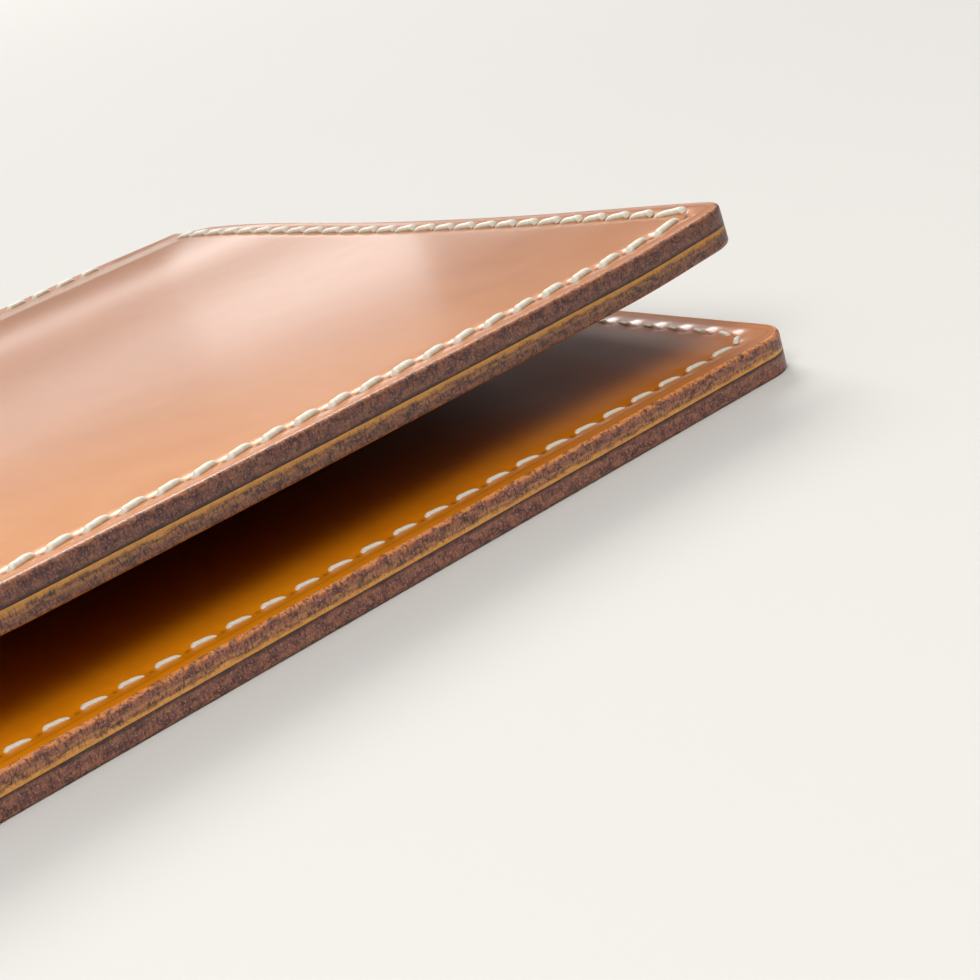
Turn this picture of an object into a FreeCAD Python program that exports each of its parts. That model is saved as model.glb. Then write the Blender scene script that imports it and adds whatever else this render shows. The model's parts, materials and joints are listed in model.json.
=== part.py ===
"""Bifold wallet in thick vegetable-tanned leather, saddle stitched, lying slightly open.

Frame: +X along the fold, -Y towards the free fore-edges, +Y towards the spine, +Z up.
The underside of the lower leaf is at z = 0 and the origin is below the middle of the box.

Each leaf is a shell plate and an inner panel of the same leather, sewn round three sides
and open towards the spine. A leaf is drawn in its own hinge frame: the hinge line is its
X axis, y is negative towards the fore-edge, and the leather lies flat. The spine is drawn
in the lower hinge frame as it stands when the wallet is shut. Placements then open the
wallet to its rest pose, half at each hinge.
"""
import FreeCAD, Part
import Sketcher
import math
import os

DRIVING = [
    ("stitch_pitch", 3.65),
    ("front_stitches", 24),
    ("lower_side_stitches", 27),
    ("upper_side_stitches", 26),
    ("spine_stitches", 20),
    ("stitch_inset", 3.05),
    ("shell_thickness", 1.95),
    ("panel_thickness", 1.95),
    ("lining_thickness", 1.0),
    ("closed_gap", 0.9),
    ("panel_tail", 1.9),
    ("lining_clearance", 0.3),
    ("spine_row_lead", 2.6),
    ("bend_lead", 1.4),
    ("lining_margin", 2.6),
    ("corner_radius", 3.6),
    ("rim_radius", 0.4),
    ("hole_radius", 0.5),
    ("thread_radius", 0.42),
    ("thread_width", 0.84),
    ("thread_height", 0.6),
    ("groove_width", 1.0),
    ("groove_depth", 0.38),
    ("base_groove_depth", 0.72),
    ("spine_arc", 110),
    ("rest_opening", 3.9),
]
SHEET = "Dimensions"


def ref(alias):
    """The expression for one cell of the sheet."""
    return f"{SHEET}.{alias}"


# Lengths worked out from the driving dimensions, written as expressions.
# The bend keeps its neutral line's length: hinges set pi/4 of the bend radius past the
# bend's start make a half circle when shut and a flat strip when the leaves lie flat.
SHELL = ref("shell_thickness")
PANEL = ref("panel_thickness")
PITCH = ref("stitch_pitch")
BEND = f"({SHELL} / 2 + {PANEL} + {ref('closed_gap')} / 2)"
HINGE_LEAD = f"({BEND} * {math.pi / 4})"
HINGE_RISE = f"({BEND} * {1 - math.pi / 4})"
HINGE_SPACING = f"({BEND} * {math.pi / 2})"
FRONT_RUN = f"({PITCH} * ({ref('front_stitches')} + 1))"
LEAF_WIDTH = f"({FRONT_RUN} + 2 * {ref('stitch_inset')})"
ROW_X = f"({FRONT_RUN} / 2)"
SPINE_ROW_Y = f"(-{HINGE_LEAD} - {ref('bend_lead')})"
PANEL_END_Y = f"({SPINE_ROW_Y} - {ref('spine_row_lead')})"
SIDE_END_Y = f"({PANEL_END_Y} - {ref('panel_tail')})"
FLAP_START_Y = f"({PANEL_END_Y} + {ref('lining_clearance')})"
LINING_WIDTH = f"({PITCH} * {ref('spine_stitches')} + 2 * {ref('lining_margin')})"
HALF_OPENING = f"({ref('rest_opening')} / 2)"


def front_row_y(side_stitches):
    """The fore-edge stitch row of a leaf with so many stitches along its sides."""
    return f"({SIDE_END_Y} - {PITCH} * ({side_stitches} + 0.5))"


def front_edge_y(side_stitches):
    """The cut fore-edge of that leaf."""
    return f"({front_row_y(side_stitches)} - {ref('stitch_inset')})"


def make_sheet(doc):
    """The spreadsheet of driving dimensions, in millimetres and degrees."""
    sheet = doc.addObject("Spreadsheet::Sheet", SHEET)
    for row, (alias, value) in enumerate(DRIVING, start=1):
        sheet.set(f"A{row}", alias)
        sheet.set(f"B{row}", str(value))
        sheet.setAlias(f"B{row}", alias)
    doc.recompute()
    return sheet


def origin_item(body, role):
    """One of a body's own origin planes or axes, by its role."""
    for item in body.Origin.OriginFeatures:
        if item.Role == role:
            return item
    raise ValueError(role)


def make_body(doc, label):
    body = doc.addObject("PartDesign::Body", label)
    body.Label = label
    return body


def flat_sketch(body, name, height):
    """A sketch parallel to the body's XY plane at a height given by an expression."""
    sketch = body.newObject("Sketcher::SketchObject", name)
    sketch.AttachmentSupport = [(origin_item(body, "XY_Plane"), "")]
    sketch.MapMode = "FlatFace"
    sketch.setExpression("AttachmentOffset.Base.z", height)
    return sketch


def add_polygon(sketch, corners):
    """A closed outline whose corners are pairs of expressions."""
    values = []
    for across, along in corners:
        values.append((evaluate(sketch, across), evaluate(sketch, along)))
    first = sketch.GeometryCount
    count = len(values)
    for index in range(count):
        start = FreeCAD.Vector(*values[index], 0)
        end = FreeCAD.Vector(*values[(index + 1) % count], 0)
        sketch.addGeometry(Part.LineSegment(start, end), False)
    for index in range(count):
        following = first + (index + 1) % count
        sketch.addConstraint(Sketcher.Constraint("Coincident", first + index, 2, following, 1))
    for index, (across, along) in enumerate(corners):
        pin_point(sketch, first + index, 1, (across, along), values[index])


def add_circle(sketch, centre, radius):
    """A circle whose centre is a pair of expressions."""
    value = (evaluate(sketch, centre[0]), evaluate(sketch, centre[1]))
    size = evaluate(sketch, radius)
    up = FreeCAD.Vector(0, 0, 1)
    index = sketch.addGeometry(Part.Circle(FreeCAD.Vector(*value, 0), up, size), False)
    pin_point(sketch, index, 3, centre, value)
    number = sketch.addConstraint(Sketcher.Constraint("Radius", index, size))
    sketch.setExpression(f"Constraints[{number}]", radius)


def pin_point(sketch, geometry, point, expressions, values):
    """Ties one point of the sketch to the origin, along both axes."""
    for kind, expression, value in zip(("DistanceX", "DistanceY"), expressions, values):
        number = sketch.addConstraint(Sketcher.Constraint(kind, -1, 1, geometry, point, value))
        sketch.setExpression(f"Constraints[{number}]", expression)


def evaluate(thing, expression):
    """The number that an expression on the sheet stands for."""
    value = thing.evalExpression(expression)
    return float(getattr(value, "Value", value))


def pad_rectangle(body, height, thickness, width, start, end):
    """The plate that a piece is cut as: centred on X, from y = start to y = end."""
    sketch = flat_sketch(body, f"{body.Label}_outline", height)
    left = f"-{width} / 2"
    right = f"{width} / 2"
    add_polygon(sketch, [(left, start), (right, start), (right, end), (left, end)])
    pad = body.newObject("PartDesign::Pad", f"{body.Label}_plate")
    pad.Profile = sketch
    pad.setExpression("Length", thickness)
    body.Document.recompute()
    return pad


def round_edges(body, base, name, radius, chosen):
    """A fillet on the edges of the base feature that the test picks."""
    edges = []
    for index, edge in enumerate(base.Shape.Edges, start=1):
        if chosen(edge):
            edges.append(f"Edge{index}")
    fillet = body.newObject("PartDesign::Fillet", f"{body.Label}_{name}")
    fillet.Base = (base, edges)
    fillet.setExpression("Radius", radius)
    body.Document.recompute()
    return fillet


def round_front_corners(body, pad, start):
    """Rounds the two corners at the fore-edge."""
    front = evaluate(body, start)

    def is_front_corner(edge):
        box = edge.BoundBox
        return box.ZLength > 0.1 and abs(box.YMin - front) < 0.01 and box.YLength < 0.01

    return round_edges(body, pad, "corners", ref("corner_radius"), is_front_corner)


def round_rim(body, base, height, end):
    """Rounds the rim of one face, except along its edge at the spine."""
    level = evaluate(body, height)
    back = evaluate(body, end)

    def is_rim(edge):
        box = edge.BoundBox
        flat = box.ZLength < 0.01 and abs(box.ZMin - level) < 0.01
        return flat and box.YMin < back - 0.01

    return round_edges(body, base, "rim", ref("rim_radius"), is_rim)


def cut_pocket(body, name, height, depth, downwards, draw):
    """Cuts what draw puts in a sketch at the given height, down or up into the plate."""
    sketch = flat_sketch(body, f"{body.Label}_{name}_sketch", height)
    draw(sketch)
    before = body.Shape.Volume
    pocket = body.newObject("PartDesign::Pocket", f"{body.Label}_{name}")
    pocket.Profile = sketch
    pocket.setExpression("Length", depth)
    pocket.Reversed = not downwards
    body.Document.recompute()
    if not body.Shape.Volume < before:
        raise RuntimeError(f"{body.Label}: {name} cuts nothing")
    return pocket


def repeat_pocket(body, pocket, axis_role, count):
    """Repeats a pocket at the stitch pitch; count is the number of stitches it spans."""
    pattern = body.newObject("PartDesign::LinearPattern", f"{pocket.Name}_row")
    pattern.Originals = [pocket]
    pattern.Direction = (origin_item(body, axis_role), [""])
    pattern.Mode = "Extent"
    pattern.setExpression("Length", f"{PITCH} * {count}")
    pattern.setExpression("Occurrences", f"{count} + 1")
    body.Tip = pattern
    body.Document.recompute()
    return pattern


def cut_edge_groove(body, height, depth, downwards, side_stitches):
    """The stitching groove round three sides, cutting each corner with its diagonal stitch."""
    row = front_row_y(side_stitches)
    half = f"{ref('groove_width')} / 2"
    corner = f"{PITCH} / 2"
    turn = f"{ref('groove_width')} * {math.tan(math.pi / 8) / 2}"
    end = f"{SIDE_END_Y} + {half}"

    def side(sign, offset):
        return f"{sign} * ({ROW_X} {offset} {half})"

    def bend(sign, offset):
        return f"{sign} * ({ROW_X} - {corner} {offset} {turn})"

    def draw(sketch):
        outer = [
            (side(-1, "+"), end),
            (side(-1, "+"), f"{row} + {corner} - {turn}"),
            (bend(-1, "+"), f"{row} - {half}"),
            (bend(1, "+"), f"{row} - {half}"),
            (side(1, "+"), f"{row} + {corner} - {turn}"),
            (side(1, "+"), end),
        ]
        inner = [
            (side(1, "-"), end),
            (side(1, "-"), f"{row} + {corner} + {turn}"),
            (bend(1, "-"), f"{row} + {half}"),
            (bend(-1, "-"), f"{row} + {half}"),
            (side(-1, "-"), f"{row} + {corner} + {turn}"),
            (side(-1, "-"), end),
        ]
        add_polygon(sketch, outer + inner)

    cut_pocket(body, "edge_groove", height, depth, downwards, draw)


def punch_edge_holes(body, top, depth, side_stitches):
    """The awl holes of the row round three sides."""
    row = front_row_y(side_stitches)
    corner = f"{PITCH} / 2"

    def draw_front(sketch):
        add_circle(sketch, (f"-{ROW_X} + {corner}", row), ref("hole_radius"))

    def draw_sides(sketch):
        add_circle(sketch, (f"-{ROW_X}", f"{row} + {corner}"), ref("hole_radius"))
        add_circle(sketch, (ROW_X, f"{row} + {corner}"), ref("hole_radius"))

    front = cut_pocket(body, "front_holes", top, depth, True, draw_front)
    repeat_pocket(body, front, "X_Axis", ref("front_stitches"))
    sides = cut_pocket(body, "side_holes", top, depth, True, draw_sides)
    repeat_pocket(body, sides, "Y_Axis", side_stitches)


def punch_spine_holes(body, top, depth):
    """The awl holes of the row beside the fold."""
    def draw(sketch):
        start = f"-{PITCH} * {ref('spine_stitches')} / 2"
        add_circle(sketch, (start, SPINE_ROW_Y), ref("hole_radius"))

    pocket = cut_pocket(body, "spine_holes", top, depth, True, draw)
    repeat_pocket(body, pocket, "X_Axis", ref("spine_stitches"))


def cut_spine_groove(body, height, depth, downwards):
    """The stitching groove beside the fold."""
    half = f"{ref('groove_width')} / 2"
    reach = f"({PITCH} * {ref('spine_stitches')} / 2 + {half})"

    def draw(sketch):
        front = f"{SPINE_ROW_Y} - {half}"
        back = f"{SPINE_ROW_Y} + {half}"
        add_polygon(sketch, [(f"-{reach}", front), (reach, front), (reach, back), (f"-{reach}", back)])

    cut_pocket(body, "spine_groove", height, depth, downwards, draw)


def leaf_levels(upper):
    """Heights in the leaf's hinge frame: shell's outer face, joint, panel's and flap's inner faces."""
    sign = 1 if upper else -1
    outer = f"({sign} * ({HINGE_RISE} + {SHELL} / 2))"
    seam = f"({sign} * ({HINGE_RISE} - {SHELL} / 2))"
    panel = f"({sign} * ({HINGE_RISE} - {SHELL} / 2 - {PANEL}))"
    flap = f"({sign} * ({HINGE_RISE} - {SHELL} / 2 - {ref('lining_thickness')}))"
    return outer, seam, panel, flap


def make_shell(doc, label, upper, side_stitches):
    """A leaf's outer plate, from the fore-edge to the start of the bend."""
    outer, seam, _, _ = leaf_levels(upper)
    bottom = seam if upper else outer
    top = outer if upper else seam
    through = f"{SHELL} + 0.2"
    groove = ref("groove_depth") if upper else ref("base_groove_depth")
    body = make_body(doc, label)
    start = front_edge_y(side_stitches)
    pad = pad_rectangle(body, bottom, SHELL, LEAF_WIDTH, start, f"-{HINGE_LEAD}")
    corners = round_front_corners(body, pad, start)
    round_rim(body, corners, outer, f"-{HINGE_LEAD}")
    cut_edge_groove(body, outer, groove, upper, side_stitches)
    cut_spine_groove(body, outer, groove, upper)
    punch_edge_holes(body, f"{top} + 0.1", through, side_stitches)
    punch_spine_holes(body, f"{top} + 0.1", through)
    return body


def make_panel(doc, label, upper, side_stitches):
    """A leaf's inner panel, which ends before the fold and leaves its pocket open there."""
    _, seam, inner, _ = leaf_levels(upper)
    bottom = inner if upper else seam
    top = seam if upper else inner
    body = make_body(doc, label)
    start = front_edge_y(side_stitches)
    pad = pad_rectangle(body, bottom, PANEL, LEAF_WIDTH, start, PANEL_END_Y)
    corners = round_front_corners(body, pad, start)
    round_rim(body, corners, inner, f"{PANEL_END_Y} + 1")
    cut_edge_groove(body, inner, ref("groove_depth"), not upper, side_stitches)
    punch_edge_holes(body, f"{top} + 0.1", f"{PANEL} + 0.2", side_stitches)
    return body


def make_flap(doc, label, upper):
    """The side of the spine lining that is sewn flat to a leaf."""
    _, seam, _, inner = leaf_levels(upper)
    bottom = inner if upper else seam
    top = seam if upper else inner
    thickness = ref("lining_thickness")
    body = make_body(doc, label)
    pad_rectangle(body, bottom, thickness, LINING_WIDTH, FLAP_START_Y, f"-{HINGE_LEAD}")
    cut_spine_groove(body, inner, ref("groove_depth"), not upper)
    punch_spine_holes(body, f"{top} + 0.1", f"{thickness} + 0.2")
    return body


def make_arc(doc, label, outer, inner, width):
    """The middle of the bend: part of a tube about an axis along X, in the lower hinge frame."""
    quarter = FreeCAD.Rotation(FreeCAD.Vector(0, 1, 0), 90)
    sector = doc.addObject("Part::Cylinder", f"{label}_outside")
    core = doc.addObject("Part::Cylinder", f"{label}_inside")
    for cylinder, radius in ((sector, outer), (core, inner)):
        cylinder.setExpression("Radius", radius)
        cylinder.setExpression("Height", width)
        cylinder.setExpression("Placement.Base.x", f"-{width} / 2")
        cylinder.setExpression("Placement.Base.y", f"-{HINGE_LEAD}")
        cylinder.setExpression("Placement.Base.z", HINGE_LEAD)
    sector.setExpression("Angle", ref("spine_arc"))
    middle = evaluate(sector, f"90 - {ref('spine_arc')} / 2")
    turn = FreeCAD.Rotation(FreeCAD.Vector(0, 0, 1), middle)
    sector.Placement.Rotation = quarter.multiply(turn)
    core.Placement.Rotation = quarter
    arc = doc.addObject("Part::Cut", label)
    arc.Base = sector
    arc.Tool = core
    arc.Label = label
    doc.recompute()
    return arc


def row_points(sheet, side_stitches):
    """The awl holes of an edge row, in order round the three sides."""
    pitch = sheet.get("stitch_pitch")
    across = evaluate(sheet, ROW_X)
    row = evaluate(sheet, front_row_y(side_stitches))
    count = round(evaluate(sheet, side_stitches))
    points = []
    for index in range(count, -1, -1):
        points.append(FreeCAD.Vector(-across, row + (index + 0.5) * pitch, 0))
    for index in range(round(sheet.get("front_stitches")) + 1):
        points.append(FreeCAD.Vector(-across + (index + 0.5) * pitch, row, 0))
    for index in range(count + 1):
        points.append(FreeCAD.Vector(across, row + (index + 0.5) * pitch, 0))
    return points


def spine_points(sheet):
    """The awl holes of the row beside the fold."""
    pitch = sheet.get("stitch_pitch")
    count = round(sheet.get("spine_stitches"))
    row = evaluate(sheet, SPINE_ROW_Y)
    return [FreeCAD.Vector((index - count / 2) * pitch, row, 0) for index in range(count + 1)]


def stitch_bar(sheet, start, end, floor, outward):
    """One stitch lying in its groove, from hole to hole, with its ends just apart from the next."""
    width = sheet.get("thread_width")
    gap = 0.05
    along = end - start
    length = along.Length - 2 * gap
    bar = Part.makeBox(length, width, sheet.get("thread_height"))
    low = 0 if outward > 0 else -sheet.get("thread_height")
    bar.translate(FreeCAD.Vector(gap, -width / 2, low))
    angle = math.degrees(math.atan2(along.y, along.x))
    bar.rotate(FreeCAD.Vector(0, 0, 0), FreeCAD.Vector(0, 0, 1), angle)
    bar.translate(FreeCAD.Vector(start.x, start.y, floor))
    return bar


def make_thread(doc, sheet, label, points, top_floor, base_floor):
    """A saddle-stitched thread: bars on both faces and legs through the holes, as one group."""
    solids = []
    trim = sheet.get("thread_width") * math.tan(math.pi / 8) / 2
    for start, end in zip(points, points[1:]):
        direction = (end - start).normalize()
        if abs(direction.x * direction.y) > 0.01:
            start = start + direction * trim
            end = end - direction * trim
        solids.append(stitch_bar(sheet, start, end, top_floor, 1))
        solids.append(stitch_bar(sheet, start, end, base_floor, -1))
    radius = sheet.get("thread_radius")
    for point in points:
        foot = FreeCAD.Vector(point.x, point.y, base_floor)
        solids.append(Part.makeCylinder(radius, top_floor - base_floor, foot))
    thread = doc.addObject("Part::Feature", label)
    thread.Label = label
    thread.Shape = Part.makeCompound(solids)
    return thread


def make_leaf_threads(doc, sheet, prefix, upper, side_stitches):
    """The edge thread and the spine-row thread of one leaf."""
    outer, _, panel, flap = [evaluate(sheet, level) for level in leaf_levels(upper)]
    groove = sheet.get("groove_depth")
    sign = 1 if upper else -1
    outer_floor = outer - sign * (groove if upper else sheet.get("base_groove_depth"))
    edge_floors = sorted((outer_floor, panel + sign * groove))
    spine_floors = sorted((outer_floor, flap + sign * groove))
    edge_row = row_points(sheet, side_stitches)
    edge = make_thread(doc, sheet, f"{prefix}_edge_thread", edge_row, edge_floors[1], edge_floors[0])
    spine_row = spine_points(sheet)
    spine = make_thread(doc, sheet, f"{prefix}_spine_thread", spine_row, spine_floors[1], spine_floors[0])
    return [edge, spine]


def place_pieces(sheet, lower, spine, upper):
    """Moves the pieces from their hinge frames to the rest pose, half the opening at each hinge."""
    bend = evaluate(sheet, BEND)
    lead = evaluate(sheet, HINGE_LEAD)
    half = math.radians(evaluate(sheet, HALF_OPENING))
    front = evaluate(sheet, front_edge_y(ref("lower_side_stitches")))
    outside = bend + sheet.get("shell_thickness") / 2
    back = lead * (math.sin(half) - math.cos(half)) + outside
    base = evaluate(sheet, f"{HINGE_RISE} + {SHELL} / 2")
    to_hinge = FreeCAD.Placement(FreeCAD.Vector(0, -(front + back) / 2, base), FreeCAD.Rotation())
    turn = FreeCAD.Placement(FreeCAD.Vector(), FreeCAD.Rotation(FreeCAD.Vector(-1, 0, 0), math.degrees(half)))
    step = FreeCAD.Placement(FreeCAD.Vector(0, 0, evaluate(sheet, HINGE_SPACING)), FreeCAD.Rotation())
    at_spine = to_hinge.multiply(turn)
    at_upper = at_spine.multiply(step).multiply(turn)
    for group, placement in ((lower, to_hinge), (spine, at_spine), (upper, at_upper)):
        for piece in group:
            piece.Placement = placement
    print("lower hinge", to_hinge.Base)
    print("upper hinge", at_upper.Base)


def check_and_export(doc, pieces):
    """Stops on any failed object, then writes one STEP file for each piece."""
    for item in doc.Objects:
        if "Invalid" in item.State or "Error" in item.State:
            raise RuntimeError(f"{item.Name} failed: {item.State}")
    for piece in pieces:
        if piece.Shape.isNull() or not piece.Shape.isValid():
            raise RuntimeError(f"{piece.Label} has no valid shape")
    os.makedirs("parts", exist_ok=True)
    whole = FreeCAD.BoundBox()
    for piece in pieces:
        piece.Shape.exportStep(f"parts/{piece.Label}.step")
        whole.add(piece.Shape.BoundBox)
        print(piece.Label, len(piece.Shape.Solids), round(piece.Shape.Volume, 1))
    print("box", whole)


def main():
    doc = FreeCAD.newDocument("BifoldWallet")
    sheet = make_sheet(doc)
    leaves = []
    for prefix, upper in (("lower", False), ("upper", True)):
        side = ref(f"{prefix}_side_stitches")
        pieces = [
            make_shell(doc, f"{prefix}_shell", upper, side),
            make_panel(doc, f"{prefix}_inner_panel", upper, side),
            make_flap(doc, f"{prefix}_lining_flap", upper),
        ]
        pieces += make_leaf_threads(doc, sheet, prefix, upper, side)
        leaves.append(pieces)
    lining = f"({BEND} - {SHELL} / 2)"
    spine = [
        make_arc(doc, "spine_shell", f"{BEND} + {SHELL} / 2", lining, LEAF_WIDTH),
        make_arc(doc, "spine_lining", lining, f"{lining} - {ref('lining_thickness')}", LINING_WIDTH),
    ]
    place_pieces(sheet, leaves[0], spine, leaves[1])
    doc.recompute()
    check_and_export(doc, leaves[0] + spine + leaves[1])


main()
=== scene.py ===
"""Bifold wallet in thick vegetable-tanned leather, saddle stitched with waxed cream thread.

Leather is laid out flat before it is bent: across is the distance along the fold from the
middle, run the distance from the fore-edge towards the spine, and lift the distance outwards
from the middle of the shell's thickness. A Leaf turns those into places in the frame.
"""
import json
import math

import bmesh
import bpy
import numpy as np
from mathutils import Matrix, Vector


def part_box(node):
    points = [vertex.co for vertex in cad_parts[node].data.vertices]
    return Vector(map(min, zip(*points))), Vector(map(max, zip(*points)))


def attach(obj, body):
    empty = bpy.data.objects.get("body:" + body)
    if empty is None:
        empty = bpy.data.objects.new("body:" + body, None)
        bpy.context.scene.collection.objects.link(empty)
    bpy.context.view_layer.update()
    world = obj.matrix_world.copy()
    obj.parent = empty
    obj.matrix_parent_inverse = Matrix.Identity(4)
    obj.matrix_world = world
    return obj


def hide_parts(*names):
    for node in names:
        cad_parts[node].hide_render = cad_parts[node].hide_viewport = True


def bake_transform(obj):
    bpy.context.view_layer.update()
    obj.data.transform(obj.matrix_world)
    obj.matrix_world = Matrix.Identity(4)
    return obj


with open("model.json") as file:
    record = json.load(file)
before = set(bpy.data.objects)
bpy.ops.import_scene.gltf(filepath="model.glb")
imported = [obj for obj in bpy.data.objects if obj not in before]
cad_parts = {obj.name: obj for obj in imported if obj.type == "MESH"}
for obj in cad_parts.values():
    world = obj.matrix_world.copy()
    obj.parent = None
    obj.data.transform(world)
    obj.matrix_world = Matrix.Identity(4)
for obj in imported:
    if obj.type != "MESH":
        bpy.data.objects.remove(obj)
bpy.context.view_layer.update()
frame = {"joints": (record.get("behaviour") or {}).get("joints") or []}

MM = 0.001

# The leather and its stitching.
PITCH = 3.65 * MM
LOWER_SIDE_STITCHES = 27
UPPER_SIDE_STITCHES = 26
CORNER_RADIUS = 3.6 * MM
RIM_RADIUS = 0.42 * MM
FLESH_RADIUS = 0.1 * MM
LINING_THICKNESS = 1.0 * MM
LINING_GAP = 0.01 * MM
LINING_INSET = 6 * MM
FLESH_OVERLAP = 2 * MM
STITCH_SEED = 7

# How the stitches press the leather. The base's groove is deep, so that the wallet rests flat.
GROOVE_WIDTH = 0.75 * MM
HOLE_WIDTH = 0.62 * MM
PRESS_REACH = 3 * MM
GROOVE_DEPTH = 0.1 * MM
BASE_GROOVE_DEPTH = 0.78 * MM
LINING_GROOVE_DEPTH = 0.12 * MM
SHELL_HOLE_DEPTH = 0.2 * MM
PANEL_HOLE_DEPTH = 0.22 * MM
LINING_HOLE_DEPTH = 0.25 * MM
SHORTEST_STITCH = 0.5 * PITCH
LONGEST_STITCH = 1.5 * PITCH
CORNER_SHIFT = 0.3 * PITCH

# How the leather stands away from flat, judged from the reference view: the upper leaf's bow,
# corner curl and middle dip, and how far the ends of the spine are drawn in, with the stretches
# over which that fades.
BOW = 0.75 * MM
CURL = 0.55 * MM
DIP = 0.25 * MM
SPINE_PULL = 1.3 * MM
SPINE_PULL_REACH = 17 * MM
SPINE_PULL_LEAD = 7 * MM
SPINE_PULL_RUN = 12 * MM

# How finely the meshes are divided.
PITCH_STEPS = 6
RIM_STEPS = 4
WALL_STEPS = 3
BEND_STEPS = 20
LINING_COLUMNS = 130
LINING_FLAT_ROWS = 9
LAST_STEP = 0.02 * MM
THREAD_SIDES = 12
THREAD_RINGS = 17

# The line creased beside the rim, and the thread's twist in radians per metre.
CREASE_INSET = 1.15 * MM
CREASE_WIDTH = 0.2 * MM
PLIES = 2.0
TWIST_RATE = 9800.0

# The studio, and the painted shade on the grain faces: how much they darken towards the spine and the
# right side. That was set to match the reference view, and says nothing of the real leather.
STUDIO_SHARE = 0.6
WORLD_LOW = 0.02
WORLD_HIGH = 1.05
BACKDROP = 0.34
SOFT_WHITE = (1.0, 0.985, 0.965)
FAR_PAINTED_SHADE = 0.62

# Material slots of a cut piece of leather.
GRAIN_SLOT = 0
EDGE_SLOT = 1
FLESH_SLOT = 2


# ---------------------------------------------------------------- the frame's measures

def joint_of(child):
    """The joint that moves a body."""
    return next(joint for joint in frame["joints"] if joint["child"] == child)


shell_low, shell_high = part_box("lower_shell")
panel_low, panel_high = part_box("lower_inner_panel")
flap_low, flap_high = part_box("lower_lining_flap")
row_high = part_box("lower_edge_thread")[1]
spine_row_low, spine_row_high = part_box("lower_spine_thread")
HALF_WIDTH = shell_high.x
SHELL_THICKNESS = shell_high.z - shell_low.z
PANEL_THICKNESS = panel_high.z - panel_low.z
ROW_INSET = HALF_WIDTH - round(row_high.x / PITCH * 2) / 2 * PITCH
ROW_X = HALF_WIDTH - ROW_INSET
LOWER_HINGE = Vector(joint_of("spine")["pos_m"])
UPPER_HINGE = Vector(joint_of("upper_leaf")["pos_m"])
HALF_OPENING = math.radians(-joint_of("spine")["range_deg"][0])
BEND_RADIUS = (UPPER_HINGE - LOWER_HINGE).length / (math.pi / 2)
HINGE_LEAD = BEND_RADIUS * math.pi / 4
HINGE_RISE = BEND_RADIUS - HINGE_LEAD
LOWER_RUN = shell_high.y - shell_low.y
SPINE_ROW_SETBACK = shell_high.y - (spine_row_low.y + spine_row_high.y) / 2
PANEL_SETBACK = shell_high.y - panel_high.y
FLAP_SETBACK = shell_high.y - flap_low.y
SPINE_HALF_ROW = round((spine_row_high.x - spine_row_low.x) / PITCH) / 2
LINING_HALF_WIDTH = flap_high.x
REST_TURN = math.pi / 2 - HALF_OPENING
LEAD_AT_REST = HINGE_LEAD * (1 + math.sin(HALF_OPENING))
RISE_AT_REST = HINGE_RISE * math.cos(HALF_OPENING)
REST_RADIUS = (LEAD_AT_REST + RISE_AT_REST) / math.cos(HALF_OPENING)


def smooth(value):
    """A smooth step from 0 to 1."""
    value = np.clip(value, 0, 1)
    return value * value * (3 - 2 * value)


class Leaf:
    """One half of the wallet, from its fore-edge to the middle of the spine."""

    def __init__(self, name, sign, hinge, turn, flat_run, side_stitches):
        self.name = name
        self.sign = sign
        self.hinge = hinge
        self.turn = turn
        self.flat_run = flat_run
        self.side_stitches = side_stitches
        self.body = f"{name}_leaf"
        self.corner_shift = CORNER_SHIFT if sign > 0 else 0.0
        self.full_run = flat_run + REST_RADIUS * REST_TURN

    def warp(self, across, run):
        """How far the upper leaf's leather stands away from flat."""
        if self.sign < 0:
            return np.zeros_like(run)
        share = run / self.flat_run
        side = (across / HALF_WIDTH) ** 2
        bow = BOW * np.exp(-((share - 0.82) / 0.2) ** 2)
        curl = CURL * smooth((side - 0.45) / 0.55) * np.exp(-(share / 0.22) ** 2)
        dip = -DIP * (1 - side) * np.exp(-(share / 0.3) ** 2)
        return (bow + curl + dip) * smooth((1 - share) / 0.1)

    def spine_pull(self, across, run):
        """How far the ends of the spine are drawn in, which leaves its middle standing out."""
        edge = smooth((np.abs(across) - (HALF_WIDTH - SPINE_PULL_REACH)) / SPINE_PULL_REACH)
        along = smooth((run - self.flat_run + SPINE_PULL_LEAD) / SPINE_PULL_RUN)
        return SPINE_PULL * edge * along

    def place(self, across, run, lift):
        """Bends flat leather round the spine and sets it at its hinge."""
        across, run, lift = np.broadcast_arrays(across, run, lift)
        past = np.maximum(run - self.flat_run, 0)
        angle = past / REST_RADIUS
        lift = lift + self.warp(across, run)
        away = REST_RADIUS + lift
        y = np.where(past > 0, away * np.sin(angle), run - self.flat_run) - HINGE_LEAD
        z = np.where(past > 0, REST_RADIUS - away * np.cos(angle), -lift) - HINGE_RISE
        z = -self.sign * z
        cos, sin = math.cos(self.turn), math.sin(self.turn)
        pull = self.spine_pull(across, run)
        world_y = self.hinge.y + y * cos + z * sin - pull * math.cos(HALF_OPENING)
        world_z = self.hinge.z - y * sin + z * cos + pull * math.sin(HALF_OPENING)
        return np.stack([across, world_y, world_z], axis=-1)

    def edge_holes(self):
        """The awl holes round three sides, in order, as (across, run)."""
        steps = round(2 * ROW_X / PITCH)
        side = ROW_INSET + (np.arange(self.side_stitches + 1) + 0.5) * PITCH
        front = -ROW_X + (np.arange(steps) + 0.5) * PITCH
        side[0] -= self.corner_shift
        front[0] -= self.corner_shift
        front[-1] += self.corner_shift
        points = [(-ROW_X, run) for run in side[::-1]]
        points += [(across, ROW_INSET) for across in front]
        points += [(ROW_X, run) for run in side]
        return np.array(points)

    def spine_holes(self):
        """The awl holes of the row beside the fold."""
        run = self.flat_run - SPINE_ROW_SETBACK
        steps = round(SPINE_HALF_ROW * 2)
        return np.array([((index - SPINE_HALF_ROW) * PITCH, run) for index in range(steps + 1)])


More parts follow.
